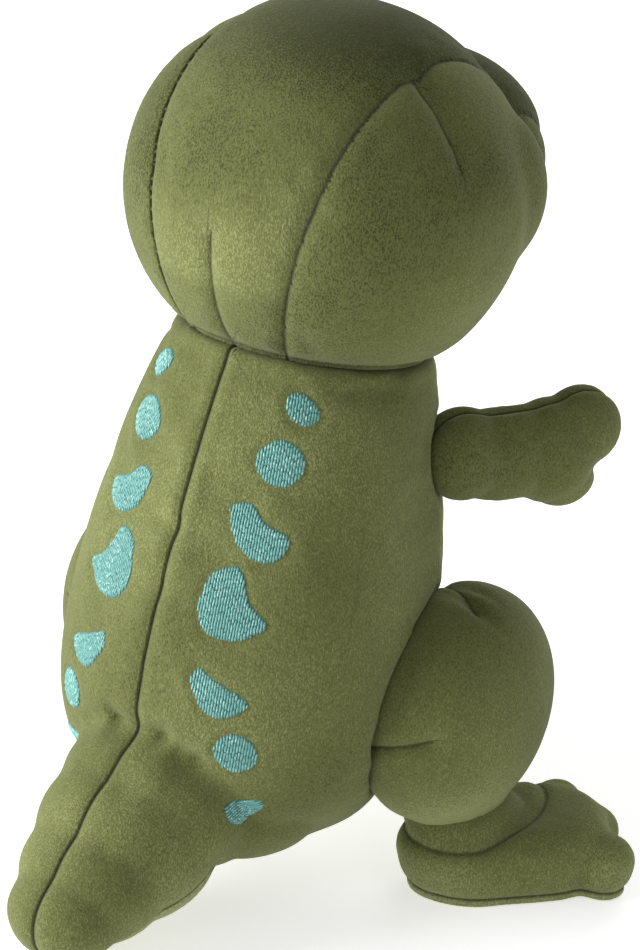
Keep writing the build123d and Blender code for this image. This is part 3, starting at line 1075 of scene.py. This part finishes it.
for side, direction in SIDES.items():
    hip = joint_place(f"hip_{side}")
    ankle = joint_place(f"ankle_{side}")
    thigh_nodes = [f"thigh_{part}_{side}" for part in ("outer_panel", "inner_panel", "stuffing")]
    leg_cover = join_solids(f"leg_cover_{side}", thigh_nodes)
    one_skin(leg_cover, 2.0, 6)

    def thigh_dart(points):
        """A short dart at the back of the thigh, rising outwards."""
        outwards = (points[:, 0] - hip[0]) * direction
        line = points[:, 2] - hip[2] + 0.5 - 0.33 * outwards
        return only_where(line, np.where(points[:, 1] < hip[1], -30.0, 12 - outwards))

    def thigh_pleat(points):
        outwards = (points[:, 0] - hip[0]) * direction
        line = points[:, 1] - hip[1] + 0.5 - 0.45 * outwards
        return only_where(line, np.where(points[:, 2] < hip[2], -30.0, 7 - outwards))

    def leg_seams(points):
        body_edge = (points[:, 0] - hip[0]) * direction + 17
        return nearest(thigh_dart(points), thigh_pleat(points), body_edge)

    fill_cover(leg_cover, np.abs(leg_seams(read_points(leg_cover))), 0.6, 2.4, 0.012, cap=2.2)
    stuffing(leg_cover, f"leg_filling_{side}", f"thigh_stuffing_{side}", f"leg_{side}")
    refine(leg_cover)
    dent_in(leg_cover, hip + np.array([direction * 6, 2, 35.0]), (9, 3, 6), 2.0)
    dent_in(leg_cover, hip + np.array([direction * 1, -5, 35.0]), (8, 2.6, 6), 1.2)
    dent_in(leg_cover, hip + np.array([direction * 14, 32, 3.0]), (6, 5, 3.5), 0.9)
    press_groove(leg_cover, leg_seams(read_points(leg_cover)), 0.8, 1.3)
    points = read_points(leg_cover)
    # Painted light: the underside of the thigh is painted lighter, as light from below.
    underside = smoothstep(hip[2] - 6, hip[2] - 32, points[:, 2])
    keep_value(leg_cover, "nap_and_painted_light", lean_of_pile(points, 30 + direction) - 0.06 + 0.3 * underside)
    for part, sign in (("outer", 1), ("inner", -1)):

        def inside(points):
            return ((points[:, 0] - hip[0]) * direction + 17) * sign > 0

        piece = panel(leg_cover, f"thigh_{part}_cover_{side}", inside)
        finish_panel(piece, olive, f"leg_{side}", [f"thigh_{part}_panel_{side}"])
    bpy.data.objects.remove(leg_cover)

# %% [markdown]
# A foot has an upper panel over a flat sole. The three toes are lobes of the same cover, and a
# cuff rises round the ankle and is sewn to the foot under the thigh.
# %% Feet

SOLE_SEAM = 3.2
FOOT_TURN = math.radians(31)
for side, direction in SIDES.items():
    ankle = joint_place(f"ankle_{side}")
    cuff = ball(ankle + np.array([direction * 2.0, -1.0, -1.0]), (16.5, 19, 10))
    foot_nodes = [f"foot_{part}_{side}" for part in ("upper_panel", "sole_panel", "stuffing")]
    foot_cover = join_solids(f"foot_cover_{side}", foot_nodes, [cuff])
    one_skin(foot_cover, 1.7, 9)

    def cuff_seam(points):
        """Positive on the foot, negative on the cuff that rises out of it."""
        flat = (points[:, :2] - ankle[:2] - np.array([direction * 3.0, -6.0])) / np.array([18.5, 27.0])
        return np.maximum((np.linalg.norm(flat, axis=1) - 1) * 22, ankle[2] - 3.5 - points[:, 2])

    def foot_seams(points):
        return nearest(points[:, 2] - SOLE_SEAM, cuff_seam(points))

    fill_cover(foot_cover, np.abs(foot_seams(read_points(foot_cover))), 0.4, 2.4, 0.012, cap=2.0)
    points = read_points(foot_cover)
    points[:, 2] = np.maximum(points[:, 2], 0.15 + 0.25 * np.exp(-((points[:, 2] / 2) ** 2)))
    toe_line = unit(np.array([direction * math.sin(FOOT_TURN), -math.cos(FOOT_TURN), 0]))
    reach = (points - ankle) @ toe_line
    middle = ankle + np.clip(reach, -2, 30)[:, None] * toe_line
    tuck = (0.06 + 0.16 * smoothstep(2, -14, reach)) * smoothstep(14, 0, points[:, 2])
    points -= (points - middle) * np.array([1, 1, 0]) * tuck[:, None]
    write_points(foot_cover, points)
    stuffing(foot_cover, f"foot_filling_{side}", f"foot_stuffing_{side}", f"foot_{side}", inward=3.6)
    refine(foot_cover)
    even_edges(foot_cover, lambda p: (p[:, 2] > SOLE_SEAM).astype(int), lambda p: p[:, 2] - SOLE_SEAM)
    points = read_points(foot_cover)
    seams = foot_seams(points)
    on_sole = smoothstep(SOLE_SEAM - 1, 0.8, points[:, 2])
    dent = 0.8 * np.exp(-((np.abs(seams) / 1.4) ** 1.4)) * (1 - on_sole)
    write_points(foot_cover, points - read_normals(foot_cover) * dent[:, None])
    keep_value(foot_cover, "seam", np.clip(np.where(points[:, 2] < SOLE_SEAM - 2, 9, seams), -9, 9))
    # Painted light: the whole foot is painted lighter than the body, as light from below.
    keep_value(foot_cover, "nap_and_painted_light", lean_of_pile(points, 40 + direction) + 0.18)
    cover_bend = bend_between(f"leg_{side}", f"foot_{side}", ankle + [0, 0, 6], ankle + [0, 0, -9])
    upper = panel(foot_cover, f"foot_upper_cover_{side}", lambda p: p[:, 2] > SOLE_SEAM)
    finish_panel(upper, olive, None, [f"foot_upper_panel_{side}"], cover_bend)
    sole = panel(foot_cover, f"foot_sole_cover_{side}", lambda p: p[:, 2] <= SOLE_SEAM)
    finish_panel(sole, pile_painted_lighter, f"foot_{side}", [f"foot_sole_panel_{side}"])
    bpy.data.objects.remove(foot_cover)

# %% [markdown]
# Camera, floor and light. The camera stands behind the toy, to its right and a little above.
# The light is a large soft window from behind and the left with two fills, and the pale floor
# glows a little, so that it stays as bright as the air above it.
# %% Camera, floor and light

VIEW_TURN = 215
VIEW_RISE = 22.6
VIEW_ROLL = -3.5
VIEW_DISTANCE = 1.15
VIEW_WIDTH = 182.857  # millimetres across the view at the neck
AIM_RIGHT = 3.857  # millimetres from the neck to the middle of the view
AIM_BELOW = 40.857

turn, rise, roll = (math.radians(angle) for angle in (VIEW_TURN, VIEW_RISE, VIEW_ROLL))
away = Vector((math.sin(turn) * math.cos(rise), -math.cos(turn) * math.cos(rise), math.sin(rise)))
level = Vector((math.cos(turn), math.sin(turn), 0))
upright = away.cross(level)
rightward = level * math.cos(roll) - upright * math.sin(roll)
upward = level * math.sin(roll) + upright * math.cos(roll)
neck_point = Vector(NECK * MM)
spot = neck_point + away * VIEW_DISTANCE
target = neck_point + (rightward * AIM_RIGHT - upward * AIM_BELOW) * MM
back_line = (spot - target).normalized()
side_line = upward.cross(back_line).normalized()
top_line = back_line.cross(side_line)
camera_data = bpy.data.cameras.new("camera")
camera_data.sensor_width = 36
camera_data.sensor_fit = "HORIZONTAL"
camera_data.lens = camera_data.sensor_width * VIEW_DISTANCE * 1000 / VIEW_WIDTH
camera = bpy.data.objects.new("camera", camera_data)
bpy.context.scene.collection.objects.link(camera)
camera.matrix_world = Matrix(
    (
        (side_line.x, top_line.x, back_line.x, spot.x),
        (side_line.y, top_line.y, back_line.y, spot.y),
        (side_line.z, top_line.z, back_line.z, spot.z),
        (0, 0, 0, 1),
    )
)
bpy.context.scene.camera = camera

bpy.ops.object.select_all(action="DESELECT")
bpy.ops.mesh.primitive_plane_add(size=30, location=(0, 0, 0))
floor = bpy.context.object
floor.name = "floor"
floor_material, _, floor_shader = new_material("pale_floor")
floor_shader.inputs["Base Color"].default_value = (0.86, 0.86, 0.86, 1)
floor_shader.inputs["Roughness"].default_value = 0.9
floor_shader.inputs["Emission Color"].default_value = (1, 1, 1, 1)
floor_shader.inputs["Emission Strength"].default_value = 0.55
floor.data.materials.append(floor_material)


def soft_light(name, place, size, power):
    data = bpy.data.lights.new(name, "AREA")
    data.shape = "DISK"
    data.size = size
    data.energy = power
    lamp = bpy.data.objects.new(name, data)
    bpy.context.scene.collection.objects.link(lamp)
    lamp.location = place
    aim = Vector((0, 0, 0.12)) - Vector(place)
    lamp.rotation_euler = aim.to_track_quat("-Z", "Y").to_euler()
    return lamp


soft_light("window", (0.9, 0.9, 0.42), 0.9, 24)
soft_light("far_fill", (-1.3, 0.4, 0.9), 1.2, 0.6)
soft_light("front_fill", (0.4, -1.5, 0.7), 1.2, 8)
world = bpy.context.scene.world or bpy.data.worlds.new("studio")
bpy.context.scene.world = world
world.use_nodes = True
world.node_tree.nodes["Background"].inputs[0].default_value = (1, 1, 1, 1)
world.node_tree.nodes["Background"].inputs[1].default_value = 0.44
bpy.context.scene.view_settings.view_transform = "Standard"
